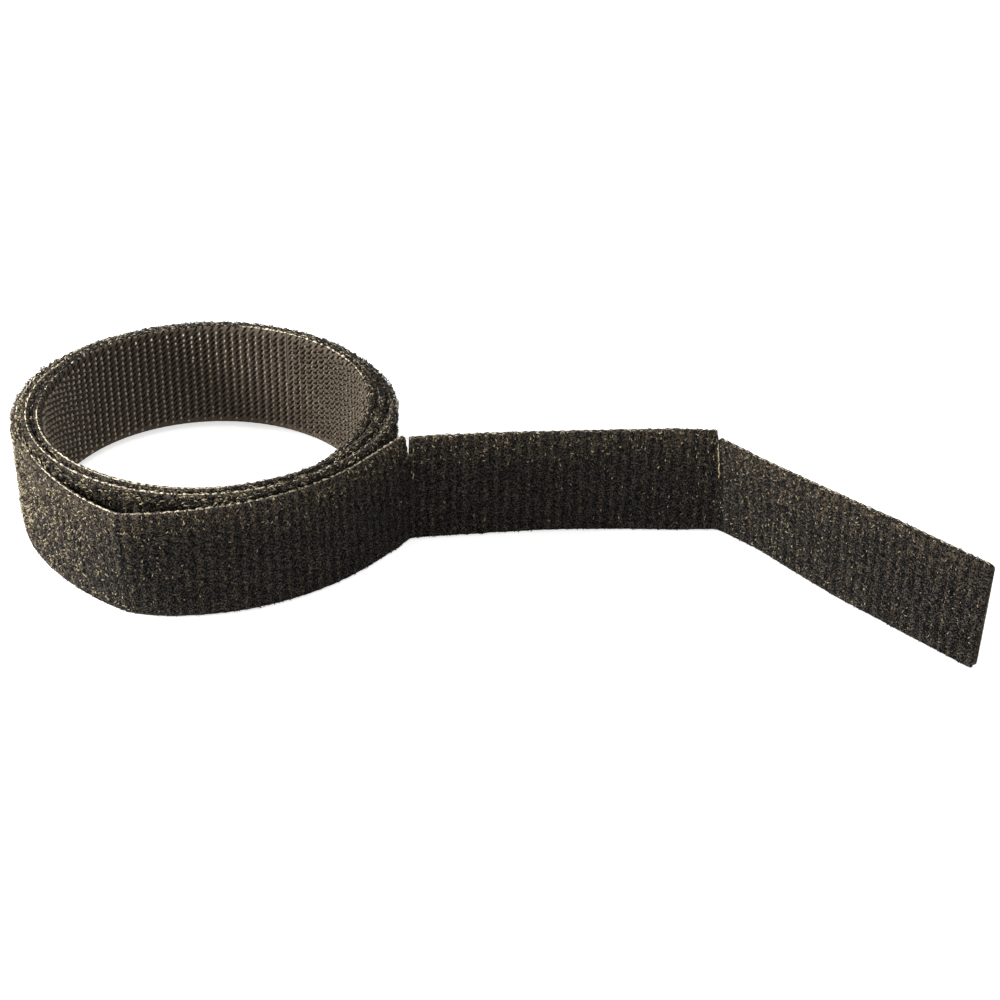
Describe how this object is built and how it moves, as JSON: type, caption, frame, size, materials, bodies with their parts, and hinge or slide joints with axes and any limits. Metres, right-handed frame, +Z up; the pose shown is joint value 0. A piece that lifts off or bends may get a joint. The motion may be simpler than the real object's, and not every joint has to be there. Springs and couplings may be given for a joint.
{
  "type": "hook and loop tape roll",
  "caption": "Loose coil of back-to-back hook and loop tape on its edge, slit part-way into tear-off ties, with a folded run of free ties leading off the coil.",
  "frame": {"origin": "middle of the box round the whole object, on the surface that the tape's bottom edge stands on", "axes": "+Z up along the tape's width, +X along the run of free ties from the coil towards the tape's end, +Y away from the side that the free ties lead off"},
  "size_m": [0.161, 0.0762, 0.021],
  "materials": {
    "hook_weave": "woven nylon ground with rows of cut monofilament hooks, semi-matte",
    "bond_film": "pale bonding film, seen only as a hairline at the cut edges",
    "loop_pile": "napped nylon loop pile, matte, with ribs across the tape",
    "land_cloth": "the laminated cloth left uncut under a slit, matte"
  },
  "bodies": {
    "coil": {"coil_hook_ply": "hook_weave", "coil_bond_film": "bond_film", "coil_loop_ply": "loop_pile"},
    "inner_tie": {"inner_tie_hook_ply": "hook_weave", "inner_tie_bond_film": "bond_film", "inner_tie_loop_ply": "loop_pile", "inner_tie_land": "land_cloth"},
    "front_tie": {"front_tie_hook_ply": "hook_weave", "front_tie_bond_film": "bond_film", "front_tie_loop_ply": "loop_pile", "front_tie_land": "land_cloth"},
    "middle_tie": {"middle_tie_hook_ply": "hook_weave", "middle_tie_bond_film": "bond_film", "middle_tie_loop_ply": "loop_pile", "middle_tie_land": "land_cloth"},
    "end_tie": {"end_tie_hook_ply": "hook_weave", "end_tie_bond_film": "bond_film", "end_tie_loop_ply": "loop_pile", "end_tie_land": "land_cloth"}
  },
  "joints": [
    {"name": "inner_tie_peel", "type": "hinge", "parent": "coil", "child": "inner_tie", "pos_m": [-0.03612, 0.03138, 0.0065], "axis": [0, 0, -1], "range_deg": [0, 60]},
    {"name": "front_tie_peel", "type": "hinge", "parent": "coil", "child": "front_tie", "pos_m": [-0.05654, -0.02945, 0.0055], "axis": [0, 0, -1], "range_deg": [0, 105]},
    {"name": "middle_tie_fold", "type": "hinge", "parent": "front_tie", "child": "middle_tie", "pos_m": [-0.01199, -0.00406, 0.0055], "axis": [0, 0, 1], "range_deg": [-44, 75]},
    {"name": "end_tie_fold", "type": "hinge", "parent": "middle_tie", "child": "end_tie", "pos_m": [0.04169, 0.00035, 0.0055], "axis": [0, 0, 1], "range_deg": [-38, 125]}
  ]
}
